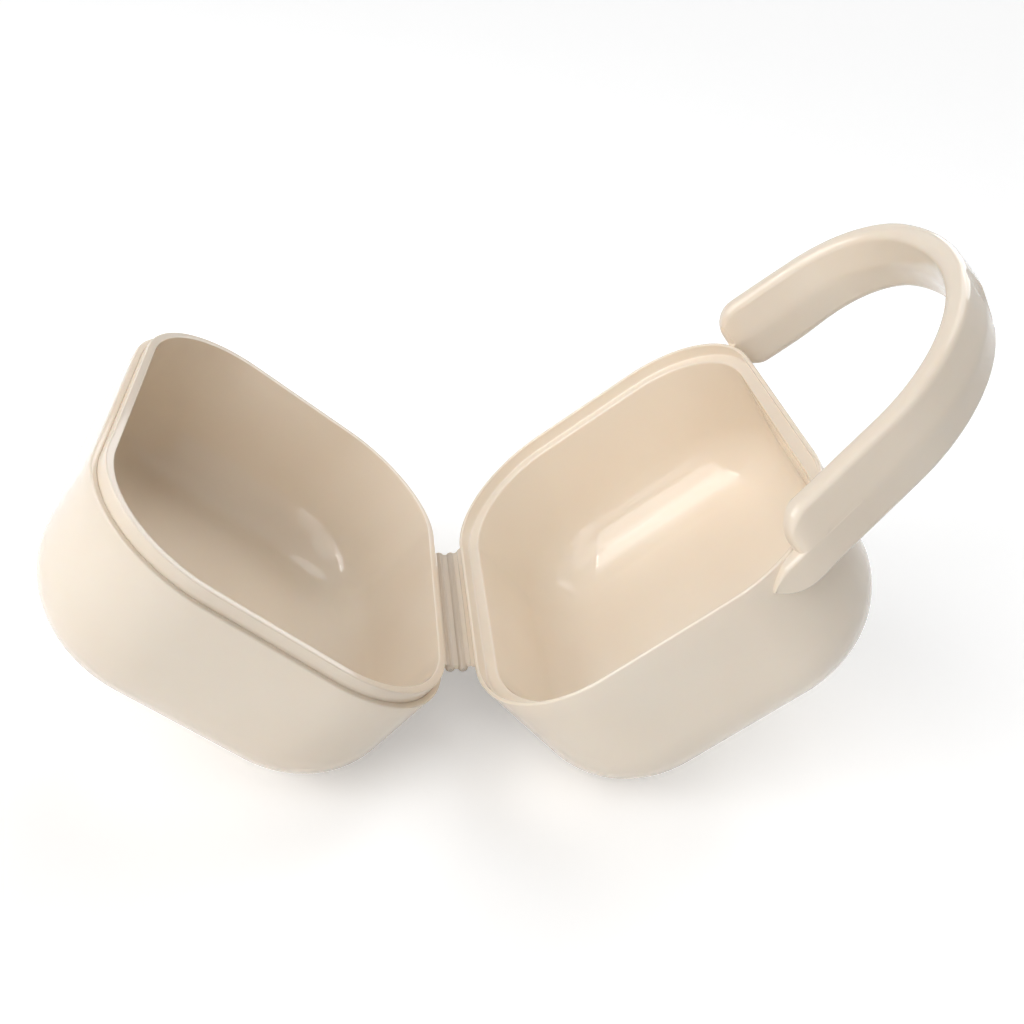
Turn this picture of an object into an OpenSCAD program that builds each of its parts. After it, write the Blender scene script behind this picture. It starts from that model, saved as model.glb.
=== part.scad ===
// Pacifier case: a base cup and a lid cup moulded with a folding strip between
// them, and a hook for hanging the case from a strap. The case stands open in a
// V on the undersides of its two cups. X runs from the lid to the hook, Y runs
// along the folding strip and Z is up. All sizes are in millimetres.

/* [Cups] */
// Length of the case along the folding strip
case_w = 62; // [56:1:70]
// Width of the case across the folding strip
case_l = 50; // [46:1:58]
// Depth of the base, from its rim to its underside
base_depth = 24; // [20:0.5:30]
// Depth of the lid, from its shoulder to its top
lid_depth = 20.5; // [17:0.5:26]
// Radius of the cups' corners, seen from above
corner_r = 16.5; // [15:0.5:19]
// Radius between a cup's walls and its bottom
bottom_r = 11; // [8:0.5:12]
// Draft of the walls, in degrees
draft = 4; // [1:0.5:6]
// Thickness of the walls and bottoms
wall = 2; // [1.8:0.1:2.4]

/* [Closure] */
// Thickness of the base's raised outer rim
rim_t = 0.9; // [0.7:0.05:1.1]
// Side clearance between the lid's lip and the base's rim
lip_clear = 0.3; // [0.2:0.05:0.4]
// Height of the lip above the lid's shoulder
lip_h = 1.7; // [1.2:0.1:2.4]
// Clearance between the lip's edge and the ledge it comes down to
ledge_clear = 0.2; // [0.1:0.05:0.4]
// Width and depth of the groove at the root of the lip
groove = 0.25; // [0.1:0.05:0.4]
// Rounding of the rim edges
edge_r = 0.3; // [0.1:0.05:0.35]
// Rounding of the lip's edges
lip_edge_r = 0.2; // [0.1:0.05:0.25]
// Gap between shoulder and rim when the case is closed
close_gap = 0.15; // [0.1:0.05:0.3]

/* [Folding strip] */
// Length of the ribs along the case
hinge_len = 31; // [20:1:33]
// Distance from one fold line to the next
fold_pitch = 1.9; // [1.8:0.05:2.4]
// Thickness of the ribs
rib_t = 1.15; // [0.8:0.05:1.2]
// Free gap between two ribs when the strip lies flat
fold_gap = 0.45; // [0.4:0.05:0.6]
// Clearance around the film at a fold line
film_clear = 0.05; // [0.03:0.01:0.08]
// Distance from a cup's wall to its fold line
hinge_reach = 1.5; // [1.4:0.1:2.2]
// Rounding of the rib ends
rib_end_r = 0.45; // [0.2:0.05:0.5]

/* [Hook] */
// Width of the hook's band
hook_w = 9.4; // [8:0.2:12]
// Thickness of the band at its edges
hook_edge_t = 3; // [2.6:0.1:3.6]
// Thickness of the band along its middle
hook_mid_t = 3.6; // [3:0.1:4.4]
// Width of the flat land along the middle of the band
hook_land = 1.6; // [1:0.2:2.4]
// Rounding of the band's edges
hook_edge_r = 1; // [0.6:0.1:1.2]
// Distance of the far arm from the middle of the case
hook_far = 21.2; // [19:0.2:23]
// Gap between the hook's tip and the base
tip_gap = 0.8; // [0.6:0.1:3]
// Length of the straight far arm
far_arm = 11.5; // [8:0.5:16]
// Radius of the bend after the far arm
shoulder_r = 13.8; // [11:0.2:16]
// Angle of the bend after the far arm
shoulder_turn = 72; // [60:1:80]
// Slant of the near arm
hook_lean = 20; // [16:1:24]
// Rounding of the hook's tip
tip_r = 3.4; // [2:0.2:4]
// Length of the foot past the point where it meets the base
foot_len = 2; // [1:0.5:5]
// Distance by which the near arm's upper half stops short of that point
upper_stop = 3.1; // [2.9:0.2:5.9]
// How far the middle of the band stands off the base's wall at the foot
foot_proud = 0.2; // [0:0.1:1]
// Clearance between the closed lid and the hook
lid_clear = 0.35; // [0.3:0.05:0.6]
// Radius of the thumb notch in the crest
notch_r = 5; // [3:0.5:8]
// Depth of the thumb notch
notch_depth = 0.5; // [0.2:0.1:0.8]
// Place of the thumb notch round the crest, in degrees
notch_turn = 19; // [0:1:40]

/* [Stance] */
// Angle between the two rims as the case stands
open_angle = 104; // [90:1:125]

/* [Hidden] */
$fn = 96;
eps = 0.1;
lap = 0.3;
slim = 0.02;
ivory = "#efe4d2";

// Closure
lip_in = rim_t + lip_clear;
lip_out = (wall - lip_h * sin(draft)) / cos(draft);
ledge_depth = lip_h + ledge_clear;

// Fold lines in the base's own frame: u runs out from the wall at the strip,
// n is up from the rim. The lid's frame is the same on its own side.
fold_turn = open_angle / 3;
fold_drop = fold_pitch * sin(60) - close_gap / 2;
fold_a = [-hinge_reach, -fold_drop];
dir_ab = 120 + fold_turn;
fold_b = fold_a + fold_pitch * [cos(dir_ab), sin(dir_ab)];
dir_bc = 60 + 2 * fold_turn;
fold_c = fold_b + fold_pitch * [cos(dir_bc), sin(dir_bc)];
lid_out = [cos(open_angle), sin(open_angle)];
lid_up = [sin(open_angle), -cos(open_angle)];
lid_at = fold_c + hinge_reach * lid_out + fold_drop * lid_up;
rib_end = fold_gap / 2 + rib_t / 2;
film_r = fold_gap / 2 - film_clear;

// Stance: the tilt of the base at which both undersides touch the table
rim_gap = lid_at.y / sin(open_angle);
tilt_sum = 180 - open_angle;
base_arc = [arc_inset(base_depth) + rim_gap, base_depth - bottom_r];
lid_arc = [arc_inset(lid_depth) + rim_gap, lid_depth - bottom_r];
base_tilt = atan2(base_arc.y + lid_arc.x * sin(tilt_sum) - lid_arc.y * cos(tilt_sum),
                  base_arc.x + lid_arc.x * cos(tilt_sum) + lid_arc.y * sin(tilt_sum));
lid_tilt = tilt_sum - base_tilt;
stand_h = base_arc.y * cos(base_tilt) - base_arc.x * sin(base_tilt) + bottom_r;

// Hook path in the base's frame, from the tip round to the foot
corner_at = [case_l - corner_r, -(case_w / 2 - corner_r)];
tip_reach = hook_far - hook_mid_t / 2 + corner_at.y;
tip_u = corner_at.x + sqrt(pow(corner_r, 2) - pow(tip_reach, 2)) + tip_gap;
shoulder_at = [tip_u + far_arm, hook_far - shoulder_r];
near_side = [sin(hook_lean), -cos(hook_lean)];
near_dir = [cos(hook_lean), sin(hook_lean)];
meet_r = corner_r + foot_proud;
blend = -cos(shoulder_turn + hook_lean);
crest_r = (meet_r - (shoulder_at - corner_at) * near_side - shoulder_r * blend) / (1 - blend);
crest_at = shoulder_at + (shoulder_r - crest_r) * [sin(shoulder_turn), cos(shoulder_turn)];
crest_turn = 180 - shoulder_turn - hook_lean;
meet_at = corner_at + meet_r * near_side;
near_arm = (crest_at + crest_r * near_side - meet_at) * near_dir;

// Place of the origin, below the middle of the whole case
hook_reach = [crest_at.x + crest_r + hook_edge_t / 2 - hook_edge_r + rim_gap, hook_w / 2 - hook_edge_r];
right_end = hook_reach.x * cos(base_tilt) + hook_reach.y * sin(base_tilt) + hook_edge_r;
lid_end = case_l + rim_gap - arc_inset(lid_depth);
left_end = lid_end * cos(lid_tilt) + lid_arc.y * sin(lid_tilt) + bottom_r;
foot_end = meet_at - foot_len * near_dir + hook_mid_t / 2 * near_side;
near_end = max(case_w / 2, -foot_end.y);
origin_x = (left_end - right_end) / 2 + rim_gap * cos(base_tilt);
origin_y = (near_end - case_w / 2) / 2;
origin_z = stand_h + rim_gap * sin(base_tilt);

// Distance in from the outline of the centre of a cup's bottom radius
function arc_inset(depth) = (bottom_r + (depth - bottom_r) * sin(draft)) / cos(draft);

// How far in a cup's section runs, just short of the axis of its corners
section_in = corner_r - slim;

// Section of a cup inside a skin of the given thickness: x runs in from the
// outline and y is up from the rim
module cup_region(skin, top, depth) {
    centre = [arc_inset(depth), bottom_r - depth];
    arc_r = bottom_r - skin;
    low = centre.y - arc_r;
    intersection() {
        translate([0, low])
            square([section_in, top - low]);
        union() {
            polygon([[(skin - top * sin(draft)) / cos(draft), top], [corner_r, top], [corner_r, low],
                     [centre.x, low], centre, centre - arc_r * [cos(draft), sin(draft)]]);
            translate(centre)
                circle(arc_r);
        }
    }
}

// What rounding takes off a convex corner of a section
module corner_ease(at, side, r = edge_r) {
    translate(at)
        mirror([side.x < 0 ? 1 : 0, 0])
            mirror([0, side.y < 0 ? 1 : 0])
                difference() {
                    translate([-eps, -eps])
                        square(r + eps);
                    translate([r, r])
                        circle(r);
                }
}

// Carries a section round the outline of a cup
module round_outline() {
    straight_u = case_l - 2 * corner_r;
    straight_v = case_w - 2 * corner_r;
    for (k = [0 : 3]) {
        along = k % 2 == 0 ? straight_v : straight_u;
        out = k % 2 == 0 ? case_l / 2 : case_w / 2;
        translate([case_l / 2, 0, 0])
            rotate([0, 0, 90 * k]) {
                translate([out, along / 2, 0])
                    rotate([90, 0, 0])
                        linear_extrude(along)
                            mirror([1, 0])
                                children();
                translate([out - corner_r, along / 2, 0])
                    rotate_extrude(angle = 90)
                        translate([corner_r, 0])
                            mirror([1, 0])
                                children();
            }
    }
}

// Block that fills the middle of a cup between two heights and laps over the
// ends of the section
module cup_middle(low, high) {
    inset = corner_r - lap;
    translate([inset, inset - case_w / 2, low])
        cube([case_l - 2 * inset, case_w - 2 * inset, high - low]);
}

// The whole space inside a cup's outer faces
module cup_block(depth) {
    round_outline()
        cup_region(0, 0, depth);
    cup_middle(-depth, 0);
}

module base_section() {
    ledge_edge = (wall + ledge_depth * sin(draft)) / cos(draft);
    difference() {
        cup_region(0, 0, base_depth);
        cup_region(wall, 1, base_depth);
        translate([rim_t, -ledge_depth])
            square([corner_r, ledge_depth + 1]);
        corner_ease([0, 0], [1, -1]);
        corner_ease([rim_t, 0], [-1, -1]);
        corner_ease([ledge_edge, -ledge_depth], [-1, -1]);
    }
}

module lid_section() {
    difference() {
        union() {
            cup_region(0, 0, lid_depth);
            translate([lip_in, -groove])
                square([wall, lip_h + groove]);
        }
        cup_region(wall, lip_h + 1, lid_depth);
        translate([lip_in - groove, -groove])
            square([groove, 2 * groove]);
        corner_ease([0, 0], [1, -1]);
        corner_ease([lip_in, lip_h], [1, -1], lip_edge_r);
        corner_ease([lip_out, lip_h], [-1, -1], lip_edge_r);
    }
}

// Frames of the two cups as the case stands
module in_base() {
    translate([origin_x, origin_y, origin_z])
        rotate([0, -base_tilt, 0])
            children();
}

module in_lid() {
    in_base()
        translate([lid_at.x, 0, lid_at.y])
            rotate([180, -open_angle, 0])
                children();
}

module base_shell() {
    color(ivory)
        in_base() {
            round_outline()
                base_section();
            cup_middle(-base_depth, wall - base_depth);
        }
}

module lid_shell() {
    color(ivory)
        in_lid() {
            round_outline()
                lid_section();
            cup_middle(-lid_depth, wall - lid_depth);
        }
}

// Rounded bar along the strip whose section runs between two round ends
module rib_bar(from, to) {
    reach = norm(to - from);
    turn = atan2(to.y - from.y, to.x - from.x);
    translate([from.x, 0, from.y])
        rotate([0, -turn, 0])
            intersection() {
                rotate([90, 0, 0])
                    linear_extrude(hinge_len, center = true)
                        union() {
                            circle(rib_t / 2);
                            translate([reach, 0])
                                circle(rib_t / 2);
                            translate([0, -rib_t / 2])
                                square([reach, rib_t]);
                        }
                translate([-rib_t / 2, -hinge_len / 2, -rib_t])
                    linear_extrude(2 * rib_t)
                        round_box([reach + rib_t, hinge_len], rib_end_r);
            }
}

module round_box(size, r) {
    translate([r, 0])
        square([size.x - 2 * r, size.y]);
    translate([0, r])
        square([size.x, size.y - 2 * r]);
    for (x = [r, size.x - r], y = [r, size.y - r])
        translate([x, y])
            circle(r);
}

// Rib that stands on a cup's wall, in that cup's frame
module wall_rib(depth) {
    difference() {
        rib_bar(fold_a + [rib_end, 0], [rib_end, fold_a.y]);
        cup_block(depth);
    }
}

// Loose rib between two fold lines
module link_rib(from, to) {
    along = (to - from) / norm(to - from);
    rib_bar(from + rib_end * along, to - rib_end * along);
}

// Film along a fold line
module film(at) {
    translate([at.x, 0, at.y])
        rotate([90, 0, 0])
            cylinder(r = film_r, h = hinge_len - 2 * rib_end_r, center = true);
}

module hinge_rib_base() {
    color(ivory)
        in_base()
            wall_rib(base_depth);
}

module hinge_rib_lid() {
    color(ivory)
        in_lid()
            wall_rib(lid_depth);
}

module hinge_link_base() {
    color(ivory)
        in_base()
            link_rib(fold_a, fold_b);
}

module hinge_link_lid() {
    color(ivory)
        in_base()
            link_rib(fold_b, fold_c);
}

module hinge_web_base() {
    color(ivory)
        in_base()
            film(fold_a);
}

module hinge_web_middle() {
    color(ivory)
        in_base()
            film(fold_b);
}

module hinge_web_lid() {
    color(ivory)
        in_base()
            film(fold_c);
}

// Section of the band: x across its thickness, y across its width. Stretches
// that lap into the bends are a hair slimmer all round.
module band_section(slim = 0) {
    centre = [hook_edge_t / 2 - slim, hook_w / 2 - slim] - hook_edge_r * [1, 1];
    crown = hook_mid_t / 2 - slim;
    slope = atan((hook_mid_t - hook_edge_t) / (hook_w - hook_land - 2 * hook_edge_r));
    for (x = [0, 1], y = [0, 1])
        mirror([x, 0])
            mirror([0, y]) {
                polygon([[0, 0], [crown, 0], [crown, hook_land / 2],
                         centre + hook_edge_r * [cos(slope), sin(slope)], centre,
                         centre + [0, hook_edge_r], [0, hook_w / 2 - slim]]);
                translate(centre)
                    circle(hook_edge_r);
            }
}

// Side view of an arm that ends in two rounded corners at x = 0
module arm_side(reach, low, high, low_r, high_r) {
    difference() {
        translate([0, low])
            square([reach, high - low]);
        corner_ease([0, low], [1, 1], low_r);
        corner_ease([0, high], [1, -1], high_r);
    }
}

// Straight stretch of band along +X from the origin
module band_straight(reach, slim = 0) {
    rotate([90, 0, 90])
        linear_extrude(reach)
            band_section(slim);
}

module far_arm_band() {
    translate([tip_u, hook_far, 0])
        intersection() {
            band_straight(far_arm + lap, slim);
            translate([0, hook_mid_t, 0])
                rotate([90, 0, 0])
                    linear_extrude(2 * hook_mid_t)
                        arm_side(far_arm + lap + eps, -hook_w / 2, hook_w / 2, tip_r, tip_r);
        }
}

module near_arm_band() {
    reach = near_arm + foot_len;
    translate([meet_at.x, meet_at.y, 0])
        rotate([0, 0, hook_lean])
            translate([-foot_len, 0, 0])
                intersection() {
                    band_straight(reach);
                    translate([0, hook_mid_t, 0])
                        rotate([90, 0, 0])
                            linear_extrude(2 * hook_mid_t)
                                union() {
                                    translate([foot_len + upper_stop, 0])
                                        arm_side(reach, -hook_w / 2, hook_w / 2, tip_r, tip_r);
                                    arm_side(reach + eps, -hook_w / 2, -close_gap, tip_r, hook_edge_r);
                                }
                }
}

// Bend of the band: a turn of the given angle about a centre
module band_bend(at, r, start, turn, slim = 0) {
    translate([at.x, at.y, 0])
        rotate([0, 0, start])
            rotate_extrude(angle = turn)
                translate([r, 0])
                    band_section(slim);
}

// Space that the closed lid needs above the base's rim
module lid_space() {
    translate([-lid_clear, -case_w / 2 - lid_clear, 0])
        linear_extrude(hook_w)
            round_box([case_l + 2 * lid_clear, case_w + 2 * lid_clear], corner_r + lid_clear);
}

module carry_hook() {
    notch_out = crest_r + hook_mid_t / 2 + notch_r - notch_depth;
    notch_at = crest_at + notch_out * [cos(notch_turn), -sin(notch_turn)];
    lap_turn = lap / crest_r * 180 / PI;
    color(ivory)
        in_base()
            difference() {
                union() {
                    far_arm_band();
                    band_bend(shoulder_at, shoulder_r, 90 - shoulder_turn, shoulder_turn);
                    band_bend(crest_at, crest_r, hook_lean - 90 - lap_turn, crest_turn + 2 * lap_turn, slim);
                    near_arm_band();
                }
                cup_block(base_depth);
                lid_space();
                translate([notch_at.x, notch_at.y, 0])
                    cylinder(r = notch_r, h = 2 * hook_w, center = true);
            }
}

base_shell();
lid_shell();
carry_hook();
hinge_rib_base();
hinge_link_base();
hinge_link_lid();
hinge_rib_lid();
hinge_web_base();
hinge_web_middle();
hinge_web_lid();
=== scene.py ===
# %% [markdown]
# # A pacifier case, moulded in one colour of plastic
# The case is a base cup and a lid cup with a folding strip between them and a
# carry hook on the base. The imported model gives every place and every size.
# This script dresses it: each piece is modelled again with smooth curves and
# soft edges, then rides on the body of the model that it belongs to.

# %% Load the frame
import math

import bpy
from mathutils import Matrix, Vector


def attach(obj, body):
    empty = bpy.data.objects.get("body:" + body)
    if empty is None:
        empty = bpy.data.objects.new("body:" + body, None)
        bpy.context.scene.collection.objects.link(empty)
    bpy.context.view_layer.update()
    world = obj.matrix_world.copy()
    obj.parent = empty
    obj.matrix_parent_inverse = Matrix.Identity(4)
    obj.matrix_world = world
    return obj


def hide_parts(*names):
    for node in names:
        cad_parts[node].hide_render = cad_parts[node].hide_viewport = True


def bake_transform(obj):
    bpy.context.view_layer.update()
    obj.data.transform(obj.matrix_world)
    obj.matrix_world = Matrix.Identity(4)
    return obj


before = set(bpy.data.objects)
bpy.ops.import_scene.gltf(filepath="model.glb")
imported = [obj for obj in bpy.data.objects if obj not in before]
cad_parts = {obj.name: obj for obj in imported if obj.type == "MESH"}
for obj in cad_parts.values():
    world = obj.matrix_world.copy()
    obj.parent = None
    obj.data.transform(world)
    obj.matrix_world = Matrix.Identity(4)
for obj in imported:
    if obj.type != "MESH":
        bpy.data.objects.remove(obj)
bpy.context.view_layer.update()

# %% [markdown]
# ## Places
# The base cup has its own frame: u runs out from the wall at the folding strip,
# v runs along the strip, and n is up from the rim. The lid has the same frame
# on its own side, turned over. Pieces are modelled lying flat in these frames in
# millimetres, because that is how a mould maker draws them, and one matrix then
# scales them to metres and stands them up.

# %% Frames of the two cups
OPEN_ANGLE, BASE_TILT = math.radians(104), math.radians(42.0739)
ORIGIN = Vector((-4.0458, 0.784177, 12.6515))
LID_AT = Vector((-3.26065, 0, 2.5475))
TO_METRES = Matrix.Scale(0.001, 4)

BASE_FRAME = TO_METRES @ Matrix.Translation(ORIGIN) @ Matrix.Rotation(-BASE_TILT, 4, "Y")
LID_FRAME = (BASE_FRAME @ Matrix.Translation(LID_AT) @ Matrix.Rotation(-OPEN_ANGLE, 4, "Y")
             @ Matrix.Rotation(math.pi, 4, "X"))
print("base rim at the strip, mm:", [round(x * 1000, 2) for x in BASE_FRAME @ Vector((0, 0, 0))])
print("lid shoulder at the strip, mm:", [round(x * 1000, 2) for x in LID_FRAME @ Vector((0, 0, 0))])

# %% [markdown]
# ## Small helpers
# An operator acts on whatever is selected, so each step starts from nothing
# selected. Faces, edges and points are then picked in code by where they are.

# %% Selecting and placing
def start_clean():
    if bpy.context.mode != "OBJECT":
        bpy.ops.object.mode_set(mode="OBJECT")
    bpy.ops.object.select_all(action="DESELECT")


def edit(piece):
    start_clean()
    bpy.context.view_layer.objects.active = piece
    piece.select_set(True)
    bpy.ops.object.mode_set(mode="EDIT")
    bpy.ops.mesh.select_all(action="DESELECT")


def pick(piece, kind, test):
    """Selects the points, edges or faces of the piece whose middle passes the test."""
    bpy.ops.object.mode_set(mode="OBJECT")
    mesh = piece.data
    for group in (mesh.vertices, mesh.edges, mesh.polygons):
        group.foreach_set("select", [False] * len(group))
    spots = [v.co for v in mesh.vertices]
    if kind == "VERT":
        for v in mesh.vertices:
            v.select = test(v.co)
    elif kind == "EDGE":
        for e in mesh.edges:
            e.select = test(spots[e.vertices[0]], spots[e.vertices[1]])
    else:
        for p in mesh.polygons:
            p.select = test(p.center, p.normal)
    bpy.ops.object.mode_set(mode="EDIT")
    bpy.ops.mesh.select_mode(type=kind)


def place(piece, matrix):
    """Stands a finished piece in the model's frame, with its place in its mesh."""
    start_clean()
    bpy.context.view_layer.objects.active = piece
    piece.select_set(True)
    piece.matrix_world = matrix @ piece.matrix_world
    bpy.ops.object.transform_apply(location=True, rotation=True, scale=True)
    return piece


def smooth(piece, degrees=35):
    start_clean()
    bpy.context.view_layer.objects.active = piece
    piece.select_set(True)
    bpy.ops.object.shade_smooth_by_angle(angle=math.radians(degrees), keep_sharp_edges=False)


def report(piece, to_mm=1000):
    """Prints a piece's size. A piece that still lies flat is in millimetres already."""
    box = [round(x * to_mm, 1) for x in piece.dimensions]
    print(piece.name, "has", len(piece.data.polygons), "faces and measures", box, "mm")

# %% [markdown]
# ## Glossy polypropylene
# The whole case is one shot of ivory polypropylene from a polished mould. Such
# plastic is slightly see-through at its edges, so a little light bleeds under the
# skin. Its gloss is clear and shows each lamp with a fairly sharp edge, and the
# skin carries a faint orange peel and slow changes of tone where the melt flowed.
# A principled shader with a trace of subsurface light gives the body, and noise
# gives the rest.

# %% Colour helper and node helper
def linear(code):
    """An sRGB hex colour as the linear colour that shaders take."""
    parts = [int(code[i:i + 2], 16) / 255 for i in (1, 3, 5)]
    return [c / 12.92 if c <= 0.04045 else ((c + 0.055) / 1.055) ** 2.4 for c in parts] + [1.0]


def add_node(tree, kind, settings=None, links=None):
    """Adds a node, sets its properties and sockets, and links its inputs."""
    node = tree.nodes.new(kind)
    for name, value in (settings or {}).items():
        if name in node.inputs:
            node.inputs[name].default_value = value
        else:
            setattr(node, name, value)
    for name, source in (links or {}).items():
        tree.links.new(source, node.inputs[name])
    return node

# %% Glossy ivory polypropylene
def ivory_polypropylene():
    material = bpy.data.materials.new("glossy_ivory_polypropylene")
    material.use_nodes = True
    tree = material.node_tree
    tree.nodes.clear()
    spot = add_node(tree, "ShaderNodeTexCoord").outputs["Object"]
    # Slow flow tones, about 25 mm across.
    flow = add_node(tree, "ShaderNodeTexNoise", {"Scale": 40.0, "Detail": 2.0, "Roughness": 0.5},
                    {"Vector": spot})
    tone = add_node(tree, "ShaderNodeValToRGB", links={"Fac": flow.outputs["Fac"]})
    tone.color_ramp.elements[0].position, tone.color_ramp.elements[1].position = 0.3, 0.7
    tone.color_ramp.elements[0].color = linear("#ecddca")
    tone.color_ramp.elements[1].color = linear("#efe3d2")
    # Gloss that varies a little over the skin, in patches of about 8 mm.
    patch = add_node(tree, "ShaderNodeTexNoise", {"Scale": 125.0, "Detail": 3.0}, {"Vector": spot})
    gloss = add_node(tree, "ShaderNodeMapRange", {"To Min": 0.06, "To Max": 0.09},
                     {"Value": patch.outputs["Fac"]})
    # Orange peel of the polished mould, cells of about 1.2 mm.
    peel = add_node(tree, "ShaderNodeTexNoise", {"Scale": 800.0, "Detail": 2.0}, {"Vector": spot})
    skin = add_node(tree, "ShaderNodeBump", {"Strength": 0.06, "Distance": 0.00005},
                    {"Height": peel.outputs["Fac"]})
    body = add_node(tree, "ShaderNodeBsdfPrincipled",
                    {"IOR": 1.49, "Subsurface Weight": 0.15, "Subsurface Scale": 0.0007,
                     "Subsurface Radius": (1.0, 0.6, 0.35)},
                    {"Base Color": tone.outputs["Color"], "Roughness": gloss.outputs["Result"],
                     "Normal": skin.outputs["Normal"]})
    add_node(tree, "ShaderNodeOutputMaterial", links={"Surface": body.outputs["BSDF"]})
    return material


POLYPROPYLENE = ivory_polypropylene()


def finish_piece(piece, nodes=()):
    piece.data.materials.clear()
    piece.data.materials.append(POLYPROPYLENE)
    if nodes:
        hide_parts(*nodes)


print("material:", POLYPROPYLENE.name)

# %% [markdown]
# ## The two cups
# Each cup is a rounded tub with a slight draft, so that it leaves its mould. A
# box with bevelled edges would give the rough form, but not the fine steps of
# the rim. Here the rim's outline is drawn once as a flat plate with four round
# corners. The inset operator then carries it along the cup's section, a small
# step inwards and a small step down or up at a time, which is how the wall, the
# bottom radius, the ledge and the lip all stay parallel to the outline.

# %% Sizes of the cups, in millimetres
CASE_L, CASE_W, CORNER_R = 50.0, 62.0, 16.5
BASE_DEPTH, LID_DEPTH, BOTTOM_R, WALL = 24.0, 20.5, 11.0, 2.0
DRAFT = math.radians(4)
RIM_T, LIP_IN, LIP_H, LEDGE, GROOVE = 0.52, 0.82, 1.7, 1.9, 0.09
EDGE_R, LIP_EDGE_R = 0.22, 0.16


def bend(centre, radius, start, end, steps):
    """Points of an arc of the section, x in from the outline and y up."""
    turns = [math.radians(start + (end - start) * k / steps) for k in range(steps + 1)]
    return [(centre[0] + radius * math.cos(a), centre[1] + radius * math.sin(a)) for a in turns]


def inner_x(y, skin):
    return (skin - y * math.sin(DRAFT)) / math.cos(DRAFT)


def bottom_bend(depth, skin):
    """The radius between wall and bottom, and a narrow ring on the flat after it."""
    inset = (BOTTOM_R + (depth - BOTTOM_R) * math.sin(DRAFT)) / math.cos(DRAFT)
    points = bend((inset, BOTTOM_R - depth), BOTTOM_R - skin, 184, 270, 20)
    return points + [(inset + 0.5, skin - depth)]


def wall_run(top, skin, depth):
    """Points down a straight wall, close enough together to shade evenly."""
    low = bottom_bend(depth, skin)[0][1]
    return [(inner_x(top + (low - top) * k / 5, skin), top + (low - top) * k / 5) for k in range(5)]


base_wall = wall_run(-EDGE_R, 0, BASE_DEPTH)
print("wall points of the base:", [tuple(round(c, 2) for c in p) for p in base_wall])

# %% The rim's outline as a plate
def rim_plate(name):
    start_clean()
    bpy.ops.mesh.primitive_plane_add(size=1, location=(CASE_L / 2, 0, -EDGE_R))
    plate = bpy.context.object
    plate.name = name
    plate.scale = (CASE_L, CASE_W, 1)
    bpy.ops.object.transform_apply(location=True, rotation=False, scale=True)
    edit(plate)
    bpy.ops.mesh.select_all(action="SELECT")
    bpy.ops.mesh.bevel(offset=CORNER_R, segments=32, profile=0.5, affect="VERTICES")
    bpy.ops.mesh.delete(type="ONLY_FACE")
    pick(plate, "EDGE", lambda a, b: (a - b).length > 5)
    bpy.ops.mesh.subdivide(number_cuts=13)
    bpy.ops.mesh.select_all(action="SELECT")
    bpy.ops.mesh.edge_face_add()
    bpy.ops.object.mode_set(mode="OBJECT")
    if plate.data.polygons[0].normal.z < 0:
        edit(plate)
        bpy.ops.mesh.select_all(action="SELECT")
        bpy.ops.mesh.flip_normals()
    return plate


def carry(plate, section):
    """Carries the plate's face along the section with one inset for each step."""
    edit(plate)
    bpy.ops.mesh.select_all(action="SELECT")
    for (x0, y0), (x1, y1) in zip(section, section[1:]):
        bpy.ops.mesh.inset(thickness=max(x1 - x0, 0.0), depth=y1 - y0, use_even_offset=True)
    bpy.ops.object.mode_set(mode="OBJECT")


def cup(name, depth, inside):
    """Outer skin and inner skin, each carried from the same outline, then joined."""
    outer, inner = rim_plate(name), rim_plate(name + "_inner")
    carry(outer, [(0.0, -EDGE_R)] + wall_run(-EDGE_R, 0, depth)[1:] + bottom_bend(depth, 0))
    carry(inner, inside)
    edit(outer)
    bpy.ops.mesh.select_all(action="SELECT")
    bpy.ops.mesh.flip_normals()
    start_clean()
    inner.select_set(True)
    outer.select_set(True)
    bpy.context.view_layer.objects.active = outer
    bpy.ops.object.join()
    edit(outer)
    bpy.ops.mesh.select_all(action="SELECT")
    bpy.ops.mesh.remove_doubles(threshold=0.0005)
    bpy.ops.mesh.normals_make_consistent(inside=False)
    bpy.ops.object.mode_set(mode="OBJECT")
    return outer

# %% [markdown]
# ### Base cup
# The base's wall rises to a thin outer rim, with a ledge inside it that the
# lid's lip comes down to. The rim's edges have a radius of 0.22 mm, as the mould
# gives them, so that each one catches a fine line of light.

# %% Base cup
edge_x = inner_x(-LEDGE, WALL)
base_inside = (bend((EDGE_R, -EDGE_R), EDGE_R, 180, 90, 5)
               + bend((RIM_T - EDGE_R, -EDGE_R), EDGE_R, 90, 0, 5)
               + bend((RIM_T + 0.25, 0.25 - LEDGE), 0.25, 180, 270, 4)
               + bend((edge_x - 0.3, -LEDGE - 0.3), 0.3, 90, 0, 5)
               + wall_run(-LEDGE - 0.6, WALL, BASE_DEPTH) + bottom_bend(BASE_DEPTH, WALL))
base_cup = place(cup("base_cup", BASE_DEPTH, base_inside), BASE_FRAME)
smooth(base_cup)
finish_piece(base_cup, ["base_shell"])
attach(base_cup, "base")
report(base_cup)

# %% [markdown]
# ### Lid cup
# The lid has a shoulder that meets the base's rim and a lip that stands up
# inside it, with a fine groove where the lip leaves the shoulder.

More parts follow.
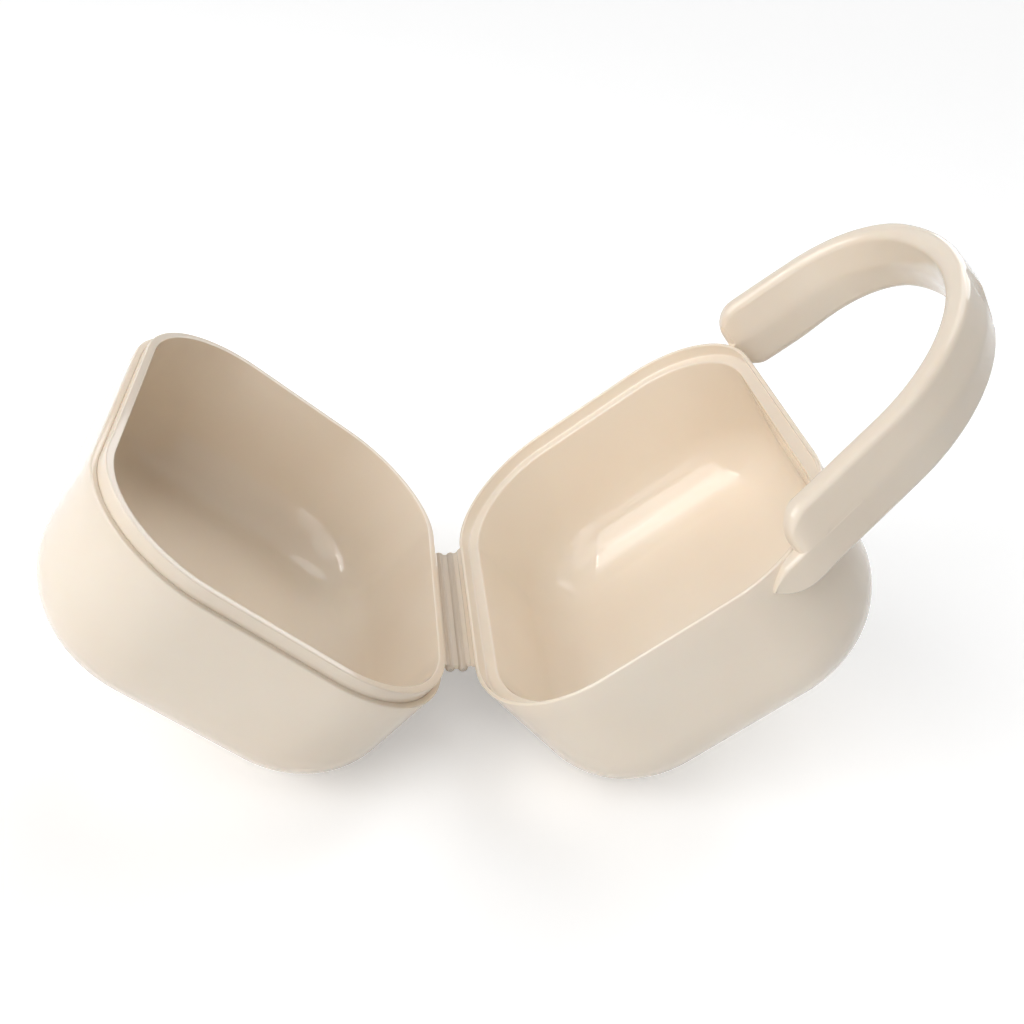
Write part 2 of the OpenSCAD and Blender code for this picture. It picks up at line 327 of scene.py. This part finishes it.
# %% Lid cup
lid_inside = (bend((EDGE_R, -EDGE_R), EDGE_R, 180, 90, 5)
              + [(LIP_IN - GROOVE, 0.0), (LIP_IN - GROOVE, -GROOVE), (LIP_IN, -GROOVE)]
              + bend((LIP_IN + LIP_EDGE_R, LIP_H - LIP_EDGE_R), LIP_EDGE_R, 180, 90, 5)
              + bend((inner_x(LIP_H, WALL) - LIP_EDGE_R, LIP_H - LIP_EDGE_R), LIP_EDGE_R, 90, 0, 5)
              + wall_run(LIP_H - 2 * LIP_EDGE_R, WALL, LID_DEPTH) + bottom_bend(LID_DEPTH, WALL))
lid_cup = place(cup("lid_cup", LID_DEPTH, lid_inside), LID_FRAME)
smooth(lid_cup)
finish_piece(lid_cup, ["lid_shell"])
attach(lid_cup, "lid")
report(lid_cup)

# %% [markdown]
# ## The carry hook
# The hook is a band that leaves the base's outer end, goes round in a big C and
# comes back to the other corner, where its free tip almost touches the base. Its
# section is flat with round edges and a low ridge along the middle, where the
# two halves of the mould meet. Drawing that section once and spinning it round
# the two bends gives true arcs, and a few shrinking steps round off each end.

# %% Sizes of the hook, in millimetres
HOOK_T, HOOK_MID, HOOK_W, HOOK_R = 3.0, 4.0, 9.4, 1.15
TIP_U, FAR_V, FAR_ARM = 48.8, 21.2, 12.7556
SHOULDER, SHOULDER_TURN = Vector((61.5556, 7.4, 0)), 72
CREST, CREST_TURN = Vector((47.874, 2.95456, 0)), 88
LEAN = math.radians(20)
MEET, NEAR_ARM, UPPER_STOP = Vector((39.2117, -30.1929, 0)), 19.4769, 3.1
TIP_R, LOBE_R = 3.6, 3.4
CREST_OUT, CREST_UP, BOW_FROM, BOW_RUN = 0.3, 0.45, 58, 18
LEAN_OUT = Matrix.Translation(MEET) @ Matrix.Rotation(LEAN, 4, "Z") @ Matrix.Translation(-MEET)


def band_face(name, low, high, low_r, high_r):
    """The band's section from low to high as a face across u, with a rounded ridge."""
    start_clean()
    bpy.ops.mesh.primitive_plane_add(size=1, rotation=(0, math.pi / 2, 0))
    face = bpy.context.object
    face.name = name
    face.scale, face.location = (high - low, HOOK_T, 1), (0, 0, (high + low) / 2)
    bpy.ops.object.transform_apply(location=True, rotation=True, scale=True)
    edit(face)
    for above, r in ((False, low_r), (True, high_r)):
        pick(face, "VERT", lambda p: (p.z > (low + high) / 2) == above)
        bpy.ops.mesh.bevel(offset=r, segments=7, profile=0.5, affect="VERTICES")
    bpy.ops.mesh.select_all(action="SELECT")
    bpy.ops.mesh.delete(type="ONLY_FACE")
    pick(face, "EDGE", lambda a, b: abs(a.z - b.z) > 1.2)
    bpy.ops.mesh.subdivide(number_cuts=11)
    bpy.ops.mesh.select_all(action="SELECT")
    bpy.ops.mesh.edge_face_add()
    bpy.ops.object.mode_set(mode="OBJECT")
    reach = HOOK_W / 2 - HOOK_R
    for v in face.data.vertices:
        lift = (HOOK_MID - HOOK_T) / 2 * (1 - math.sqrt((v.co.z / reach) ** 2 + 0.003))
        v.co.y *= 1 + max(lift, 0) / (HOOK_T / 2)
    return face


def stand_at(face, spot):
    """Moves the section to the place where the sweep starts."""
    start_clean()
    bpy.context.view_layer.objects.active = face
    face.select_set(True)
    face.location = spot
    bpy.ops.object.transform_apply(location=True, rotation=False, scale=False)
    edit(face)
    bpy.ops.mesh.select_all(action="SELECT")


def selected_middle(piece):
    bpy.ops.object.mode_set(mode="OBJECT")
    spots = [v.co.copy() for v in piece.data.vertices if v.select]
    bpy.ops.object.mode_set(mode="EDIT")
    return sum(spots, Vector()) / len(spots)


def taper(piece, stations):
    """Extrudes the selected face against u through stations of (u, low, high, thickness)."""
    middle = selected_middle(piece)
    (u, low, high, t), later = stations[0], stations[1:]
    for u2, low2, high2, t2 in later:
        rise = (low2 + high2 - low - high) / 2
        bpy.ops.mesh.extrude_region_move(TRANSFORM_OT_translate={"value": (u2 - u, 0, rise)})
        middle = middle + Vector((u2 - u, 0, rise))
        bpy.ops.transform.resize(value=(1, t2 / t, (high2 - low2) / (high - low)),
                                 center_override=middle)
        u, low, high, t = u2, low2, high2, t2


def round_end(u, steps=10):
    """Stations of an end whose corners have the tip's radius."""
    half, stations = HOOK_W / 2, []
    for k in range(steps + 1):
        a = math.pi / 2 * k / steps
        drop = 1 - math.cos(a)
        stations.append((u - TIP_R * math.sin(a), -half + TIP_R * drop, half - TIP_R * drop,
                         HOOK_MID - 2.1 * drop))
    return stations


print("stations of a round end:", len(round_end(0.0)))

# %% Sweep the hook's band
hook = band_face("carry_hook_band", -HOOK_W / 2, HOOK_W / 2, HOOK_R, HOOK_R)
stand_at(hook, (TIP_U + FAR_ARM, FAR_V, 0))
bpy.ops.mesh.spin(steps=26, angle=math.radians(SHOULDER_TURN), center=SHOULDER, axis=(0, 0, 1))
print("after the shoulder:", [round(x, 2) for x in selected_middle(hook)])
bpy.ops.mesh.spin(steps=44, angle=math.radians(CREST_TURN), center=CREST, axis=(0, 0, 1))
print("after the crest:", [round(x, 2) for x in selected_middle(hook)])
arm_way = Vector((-math.cos(LEAN), -math.sin(LEAN), 0))
stops = [NEAR_ARM - 1.5 * k for k in range(8)] + [7.9, 7.4, 6.95, UPPER_STOP + LOBE_R]
stops += [UPPER_STOP + LOBE_R * (1 - math.sin(math.pi / 2 * k / 14)) for k in range(1, 15)]
for before, after in zip(stops, stops[1:]):
    bpy.ops.mesh.extrude_region_move(TRANSFORM_OT_translate={"value": arm_way * (before - after)})
print("end of the near arm:", [round(x, 2) for x in selected_middle(hook)])

# %% Round the hook's two ends
FADE_FROM, FADE_RUN, FADE_SHARE = 7.9, 1.5, 0.95
WIDEN_FROM, WIDEN_RUN, WIDER_BELOW, WIDER_ABOVE = 72, 14, 0.2, 0.07
start_clean()
hook.data.transform(LEAN_OUT.inverted())
for v in hook.data.vertices:
    along = v.co.x - MEET.x
    if v.co.y < -20 and along < 8.0:
        # The lower half fades out inside the foot, the upper half ends in a round lobe.
        if v.co.z < 0:
            v.co.z *= 1 - FADE_SHARE * min(max((FADE_FROM - along) / FADE_RUN, 0), 1)
        drop = min(max((UPPER_STOP + LOBE_R - along) / LOBE_R, 0), 1)
        if v.co.z > 0:
            v.co.z *= 0.26 + 0.74 * math.sqrt(max(1 - drop ** 2.2, 0))
        v.co.y = MEET.y + (v.co.y - MEET.y) * (0.5 + 0.5 * math.sqrt(max(1 - drop ** 4, 0)))
hook.data.transform(LEAN_OUT)
edit(hook)
pick(hook, "VERT", lambda p: abs(p.x - TIP_U - FAR_ARM) < 0.01 and p.y > 15)
straight = (FAR_ARM - TIP_R) / 6
for k in range(6):
    bpy.ops.mesh.extrude_region_move(TRANSFORM_OT_translate={"value": (-straight, 0, 0)})
taper(hook, round_end(TIP_U + TIP_R))
bpy.ops.mesh.select_all(action="SELECT")
bpy.ops.mesh.remove_doubles(threshold=0.001)
bpy.ops.mesh.normals_make_consistent(inside=False)
start_clean()
for v in hook.data.vertices:
    # The crest bows up and out a little, and the far arm is wider below towards its tip.
    bow = min(max((v.co.x - BOW_FROM) / BOW_RUN, 0), 1)
    bow = bow * bow * (3 - 2 * bow)
    if v.co.y > 0:
        wider = WIDER_BELOW if v.co.z < 0 else WIDER_ABOVE
        v.co.z *= 1 + wider * min(max((WIDEN_FROM - v.co.x) / WIDEN_RUN, 0), 1)
    v.co.x += CREST_OUT * bow
    v.co.z += CREST_UP * bow
report(hook, to_mm=1)

# %% [markdown]
# ### Foot of the hook
# The upper half of the near arm stops above the rim, so that the lid can shut
# past it. The lower half goes on as a foot that runs out on the base's wall like
# a leaf: its lower edge sweeps up to a blunt point and its upper edge slants down
# to it. The stations below are read along the arm from the point where it meets
# the wall. A boolean then joins foot and band, because they are one moulding.

# %% Foot
FOOT_SWELL, THIN_FROM, THIN_RATE = 1.015, 7, 0.0287
foot = band_face("carry_hook_foot", -HOOK_W / 2 + 0.02, 0.3, HOOK_R, 0.45)
stand_at(foot, (MEET.x + 12, MEET.y, 0))
outline = [(12, -4.68, 0.3), (10, -4.68, 0.3), (8, -4.68, 0.3), (7, -4.7, 0.3), (6, -4.76, 0.3),
           (5, -4.9, 0.28), (4, -5.06, 0.2), (3.2, -5.18, 0.05), (2.5, -5.23, -0.12),
           (1.9, -5.22, -0.27), (1.3, -5.12, -0.42), (0.8, -4.96, -0.62), (0.3, -4.74, -0.9),
           (-0.2, -4.42, -1.26),
           (-0.65, -4.05, -1.65), (-1.0, -3.7, -2.03), (-1.3, -3.33, -2.43), (-1.5, -3.03, -2.8)]
taper(foot, [(MEET.x + s, low, high, HOOK_T) for s, low, high in outline])
bpy.ops.mesh.select_all(action="SELECT")
bpy.ops.mesh.normals_make_consistent(inside=False)
start_clean()
for v in foot.data.vertices:
    # The outer face runs into the wall towards the point, so that the foot ends like a leaf.
    thinner = THIN_RATE * max(0, THIN_FROM - (v.co.x - MEET.x)) ** 2
    v.co.y = MEET.y + (v.co.y - MEET.y) * FOOT_SWELL + thinner
foot.data.transform(LEAN_OUT)
report(foot, to_mm=1)

# %% [markdown]
# The hook must not reach into the cavity, nor into the space that the closed lid
# needs. Both are plates of the rim's outline, one carried down along the wall and
# one drawn up, and two more booleans take them away. The first is cut 0.6 mm
# inside the wall's skin, so that hook and wall overlap there as one moulding. A
# last cut, with an upright cylinder, takes the thumb's notch out of the crest.

# %% What the hook leaves free
LID_CLEAR, LID_FROM = 0.35, 0.02
NOTCH_R, NOTCH_AT = 5, (80.78, -8.273, 0)


def combine(piece, other, how):
    start_clean()
    bpy.context.view_layer.objects.active = piece
    piece.select_set(True)
    tool = piece.modifiers.new(how.lower(), "BOOLEAN")
    tool.object, tool.operation, tool.solver = other, how, "EXACT"
    bpy.ops.object.modifier_apply(modifier=tool.name)
    bpy.data.objects.remove(other, do_unlink=True)


def upright(piece):
    edit(piece)
    bpy.ops.mesh.select_all(action="SELECT")
    bpy.ops.mesh.normals_make_consistent(inside=False)
    bpy.ops.object.mode_set(mode="OBJECT")
    return piece


cavity = rim_plate("cavity_space")
edit(cavity)
bpy.ops.mesh.select_all(action="SELECT")
bpy.ops.mesh.inset(thickness=0.6, depth=0.0)
bpy.ops.mesh.select_all(action="INVERT")
bpy.ops.mesh.delete(type="FACE")
bpy.ops.mesh.select_all(action="SELECT")
bpy.ops.transform.translate(value=(0, 0, EDGE_R))
bpy.ops.mesh.extrude_region_move(TRANSFORM_OT_translate={"value": (0, 0, -8)})
bpy.ops.transform.resize(value=(0.978, 0.982, 1), center_override=(CASE_L / 2, 0, 0))
combine(hook, foot, "UNION")
combine(hook, upright(cavity), "DIFFERENCE")
lid_space = rim_plate("closed_lid_space")
edit(lid_space)
bpy.ops.mesh.select_all(action="SELECT")
bpy.ops.transform.resize(value=(1 + 2 * LID_CLEAR / CASE_L, 1 + 2 * LID_CLEAR / CASE_W, 1),
                         center_override=(CASE_L / 2, 0, 0))
bpy.ops.transform.translate(value=(0, 0, LID_FROM))
bpy.ops.mesh.extrude_region_move(TRANSFORM_OT_translate={"value": (0, 0, HOOK_W)})
combine(hook, upright(lid_space), "DIFFERENCE")
start_clean()
bpy.ops.mesh.primitive_cylinder_add(vertices=96, radius=NOTCH_R, depth=20, location=NOTCH_AT)
combine(hook, bpy.context.object, "DIFFERENCE")
report(hook, to_mm=1)

# %% Stand the hook up and let it ride on the base
place(hook, BASE_FRAME)
smooth(hook, 28)
finish_piece(hook, ["carry_hook"])
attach(hook, "base")
report(hook)

# %% [markdown]
# ## The folding strip
# Four round ribs lie side by side between the cups: one on each cup's wall and two loose ones. A
# thin film joins each rib to the next, and all the bending is in the films. Each film is a flat
# sheet from one rib's middle to the next.

# %% Sizes of the strip, in millimetres
RIB_R, RIB_LIFT, STRIP_LOW, STRIP_HIGH = 0.46, 0.4, -12.7, 15.6
FOLD_GAP, FILM_T, FILM_SHORTER = 1.9, 0.5, 0.9
FOLD_TURN = math.degrees(OPEN_ANGLE) / 3
LINK_WAY = [math.radians(120 + FOLD_TURN), math.radians(60 + 2 * FOLD_TURN)]
FOLD_A = Vector((-1.5, 0, -1.5704))
FOLD_B = FOLD_A + FOLD_GAP * Vector((math.cos(LINK_WAY[0]), 0, math.sin(LINK_WAY[0])))
FOLD_C = FOLD_B + FOLD_GAP * Vector((math.cos(LINK_WAY[1]), 0, math.sin(LINK_WAY[1])))


def raised(first, second, way, lift):
    """The middle between two fold lines, lifted towards the rims."""
    return (first + second) / 2 + lift * Vector((math.sin(way), 0, -math.cos(way)))


def rib(name, near, far, low, high):
    """A bar along v whose section runs from one point to the other with round ends."""
    start_clean()
    bpy.ops.mesh.primitive_cylinder_add(vertices=40, radius=RIB_R, depth=high - low,
                                        location=(near.x, (high + low) / 2, near.z),
                                        rotation=(math.pi / 2, 0, 0))
    bar = bpy.context.object
    bar.name = name
    bpy.ops.object.transform_apply(location=True, rotation=True, scale=True)
    edit(bar)
    pick(bar, "EDGE", lambda a, b: abs(a.y - b.y) < 0.001)
    bpy.ops.mesh.bevel(offset=0.38, segments=6, profile=0.5, affect="EDGES")
    side = (far - near).normalized()
    pick(bar, "VERT", lambda p: (p - near).dot(side) > -0.001)
    bpy.ops.transform.translate(value=far - near)
    bpy.ops.object.mode_set(mode="OBJECT")
    return bar


LINKS = [raised(FOLD_A, FOLD_B, LINK_WAY[0], RIB_LIFT),
         raised(FOLD_B, FOLD_C, LINK_WAY[1], RIB_LIFT)]
print("loose ribs at, mm:", [[round(x, 2) for x in link] for link in LINKS])

# %% Ribs
BASE_RIB, LID_RIB = Vector((-0.7, 0, -1.15)), Vector((-0.55, 0, -1.15))
LINK_HALF = [0.05 * Vector((math.cos(way), 0, math.sin(way))) for way in LINK_WAY]
AT_WALL = Vector((-0.1, 0, -1.15))
ribs = [(rib("strip_rib_on_base", AT_WALL, BASE_RIB, STRIP_LOW, STRIP_HIGH),
         BASE_FRAME, "hinge_rib_base", "base"),
        (rib("strip_rib_next_to_base", LINKS[0] - LINK_HALF[0], LINKS[0] + LINK_HALF[0],
             STRIP_LOW, STRIP_HIGH),
         BASE_FRAME, "hinge_link_base", "link_base"),
        (rib("strip_rib_next_to_lid", LINKS[1] - LINK_HALF[1], LINKS[1] + LINK_HALF[1],
             STRIP_LOW, STRIP_HIGH),
         BASE_FRAME, "hinge_link_lid", "link_lid"),
        (rib("strip_rib_on_lid", AT_WALL, LID_RIB, -STRIP_HIGH, -STRIP_LOW),
         LID_FRAME, "hinge_rib_lid", "lid")]
for bar, matrix, node, body in ribs:
    place(bar, matrix)
    smooth(bar, 40)
    finish_piece(bar, [node])
    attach(bar, body)
    report(bar)

# %% Films
def film(name, first, second, node):
    """A thin sheet from one rib's middle to the next, cut across into ten strips."""
    start_clean()
    across = second - first
    bpy.ops.mesh.primitive_cube_add(size=1)
    sheet = bpy.context.object
    sheet.name = name
    sheet.scale = (across.length, STRIP_HIGH - STRIP_LOW - FILM_SHORTER, FILM_T)
    sheet.rotation_euler = (0, -math.atan2(across.z, across.x), 0)
    sheet.location = (first + second) / 2 + Vector((0, (STRIP_HIGH + STRIP_LOW) / 2, 0))
    bpy.ops.object.transform_apply(location=True, rotation=True, scale=True)
    way = across.normalized()
    edit(sheet)
    pick(sheet, "EDGE", lambda a, b: abs((a - b).dot(way)) > 0.5 * across.length)
    bpy.ops.mesh.subdivide(number_cuts=9)
    place(sheet, BASE_FRAME)
    smooth(sheet, 40)
    finish_piece(sheet, [node])
    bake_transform(sheet)
    report(sheet)
    return sheet


lid_rib_in_base = BASE_FRAME.inverted() @ LID_FRAME @ LID_RIB
film("strip_film_base", BASE_RIB, LINKS[0], "hinge_web_base")
film("strip_film_middle", LINKS[0], LINKS[1], "hinge_web_middle")
film("strip_film_lid", LINKS[1], lid_rib_in_base, "hinge_web_lid")

# %% [markdown]
# ## Floor, light and camera
# The case stands on white paper in a light tent. Rays that are seen, straight or
# in the gloss, meet a paper and a tent lifted to white, while the paper still
# takes the soft shadow. Rays that only carry light find a duller paper, so that
# the underside of the case keeps its shade.

# %% Rays that are seen
def seen_rays(tree):
    """One for a ray that the camera, the gloss or clear plastic sees, else nothing."""
    path = add_node(tree, "ShaderNodeLightPath").outputs
    seen = path["Is Camera Ray"]
    for kind in ("Is Glossy Ray", "Is Transmission Ray"):
        either = tree.nodes.new("ShaderNodeMath")
        either.operation = "MAXIMUM"
        tree.links.new(seen, either.inputs[0])
        tree.links.new(path[kind], either.inputs[1])
        seen = either.outputs["Value"]
    return seen


def mixed(tree, share, first, second):
    """A mix shader whose share is a number or the output of a node."""
    mix = tree.nodes.new("ShaderNodeMixShader")
    if isinstance(share, float):
        mix.inputs["Fac"].default_value = share
    else:
        tree.links.new(share, mix.inputs["Fac"])
    tree.links.new(first, mix.inputs[1])
    tree.links.new(second, mix.inputs[2])
    return mix.outputs["Shader"]

# %% White paper
start_clean()
bpy.ops.mesh.primitive_plane_add(size=6, location=(0, 0, 0))
floor = bpy.context.object
floor.name = "white_paper"
paper = bpy.data.materials.new("matt_white_paper")
paper.use_nodes = True
tree = paper.node_tree
tree.nodes.clear()
dull = add_node(tree, "ShaderNodeBsdfDiffuse", {"Color": linear("#eeeeee")}).outputs["BSDF"]
shade = add_node(tree, "ShaderNodeBsdfDiffuse", {"Color": linear("#f3f3f3")}).outputs["BSDF"]
lift = add_node(tree, "ShaderNodeEmission",
                {"Color": linear("#ffffff"), "Strength": 0.31}).outputs["Emission"]
look = add_node(tree, "ShaderNodeAddShader")
tree.links.new(shade, look.inputs[0])
tree.links.new(lift, look.inputs[1])
paper_surface = mixed(tree, seen_rays(tree), dull, look.outputs["Shader"])
add_node(tree, "ShaderNodeOutputMaterial", links={"Surface": paper_surface})
floor.data.materials.append(paper)
print("floor:", floor.name)

# %% Light tent
world = bpy.data.worlds.new("light_tent")
bpy.context.scene.world = world
world.use_nodes = True
tree = world.node_tree
tree.nodes.clear()
fill = add_node(tree, "ShaderNodeBackground",
                {"Color": linear("#ffffff"), "Strength": 0.02}).outputs["Background"]
# White where the camera looks past the paper, and a little less in the gloss.
camera_sees = add_node(tree, "ShaderNodeLightPath").outputs["Is Camera Ray"]
level = add_node(tree, "ShaderNodeMapRange", {"To Min": 0.8, "To Max": 1.0}, {"Value": camera_sees})
bright = add_node(tree, "ShaderNodeBackground", {"Color": linear("#ffffff")},
                  {"Strength": level.outputs["Result"]}).outputs["Background"]
tent_surface = mixed(tree, seen_rays(tree), fill, bright)
add_node(tree, "ShaderNodeOutputWorld", links={"Surface": tent_surface})
print("world:", world.name)

# %% [markdown]
# One lamp stands to the left, over the lid, as in the photo. It is two lamps in
# one place: a wide one gives the light, and a narrower one is seen in the gloss
# alone, where it draws the white bar inside the base. Six wide soft suns stand in
# for the white cards around the tent, because they light the paper evenly.

# %% Light
LAMP_AIM = Vector((0.02, 0.01, 0.025))


def way_to(direction):
    """The unit vector of a direction (turn, height) in degrees."""
    turn, height = (math.radians(a) for a in direction)
    return Vector((math.cos(turn) * math.cos(height), math.sin(turn) * math.cos(height),
                   math.sin(height)))


def soft_box(name, direction, distance, size, power):
    """A rectangular lamp that stands in a direction from the case."""
    away = way_to(direction)
    light = bpy.data.lights.new(name, "AREA")
    light.shape, light.size, light.size_y, light.energy = "RECTANGLE", size[0], size[1], power
    lamp = bpy.data.objects.new(name, light)
    bpy.context.scene.collection.objects.link(lamp)
    lamp.location = LAMP_AIM + away * distance
    lamp.rotation_mode = "QUATERNION"
    lamp.rotation_quaternion = away.to_track_quat("Z", "Y")
    return lamp


def far_light(name, direction, spread, strength):
    """A soft sun, for a wide card that stands far off and lights the paper evenly."""
    away = way_to(direction)
    light = bpy.data.lights.new(name, "SUN")
    light.angle, light.energy = math.radians(spread), strength
    lamp = bpy.data.objects.new(name, light)
    bpy.context.scene.collection.objects.link(lamp)
    lamp.rotation_mode = "QUATERNION"
    lamp.rotation_quaternion = away.to_track_quat("Z", "Y")
    return lamp


key = soft_box("key_box", (180, 35), 0.5, (0.435, 0.385), 0.88)
gleam = soft_box("key_box_gleam", (180, 35), 0.5, (0.22, 0.4), 5.0)
gleam.visible_diffuse = False
cards = [far_light("front_card", (214, 28), 40, 0.98),
         far_light("front_high_card", (240, 60), 40, 0.5),
         far_light("near_card", (270, 28), 40, 0.46),
         far_light("near_low_card", (262, 8), 40, 0.26),
         far_light("back_card", (50, 28), 40, 1.0),
         far_light("back_high_card", (60, 60), 40, 0.66)]
print("lights:", key.name, gleam.name, [lamp.name for lamp in cards])

# %% [markdown]
# The camera stands close and looks down at about 29 degrees, a little from the
# left and rolled by 8 degrees. Its lens was fitted to the rims and the hook.

# %% Camera
AZ, EL, ROLL = math.radians(-10.01205), math.radians(29.05087), math.radians(8.10623)
DISTANCE, IMAGE_WIDTH, FOCAL_PIXELS, SENSOR = 0.160512868, 1024, 1208.298, 36.0
TARGET = Vector((0.00055667, 0.000784177, 0.0272719))
back = Vector((math.sin(AZ) * math.cos(EL), -math.cos(AZ) * math.cos(EL), math.sin(EL)))
right = (-back).cross(Vector((0, 0, 1))).normalized()
up = right.cross(-back)
right, up = (math.cos(ROLL) * right + math.sin(ROLL) * up,
             math.cos(ROLL) * up - math.sin(ROLL) * right)
lens = bpy.data.cameras.new("photo_camera")
lens.sensor_width, lens.lens = SENSOR, SENSOR * FOCAL_PIXELS / IMAGE_WIDTH
camera = bpy.data.objects.new("photo_camera", lens)
bpy.context.scene.collection.objects.link(camera)
turn = Matrix((right, up, back)).transposed().to_4x4()
camera.matrix_world = Matrix.Translation(TARGET + back * DISTANCE) @ turn
lens.clip_start, lens.clip_end = 0.01, 20
bpy.context.scene.camera = camera
bpy.context.scene.view_settings.view_transform = "Standard"
print("camera at, mm:", [round(x * 1000, 1) for x in camera.matrix_world.translation])
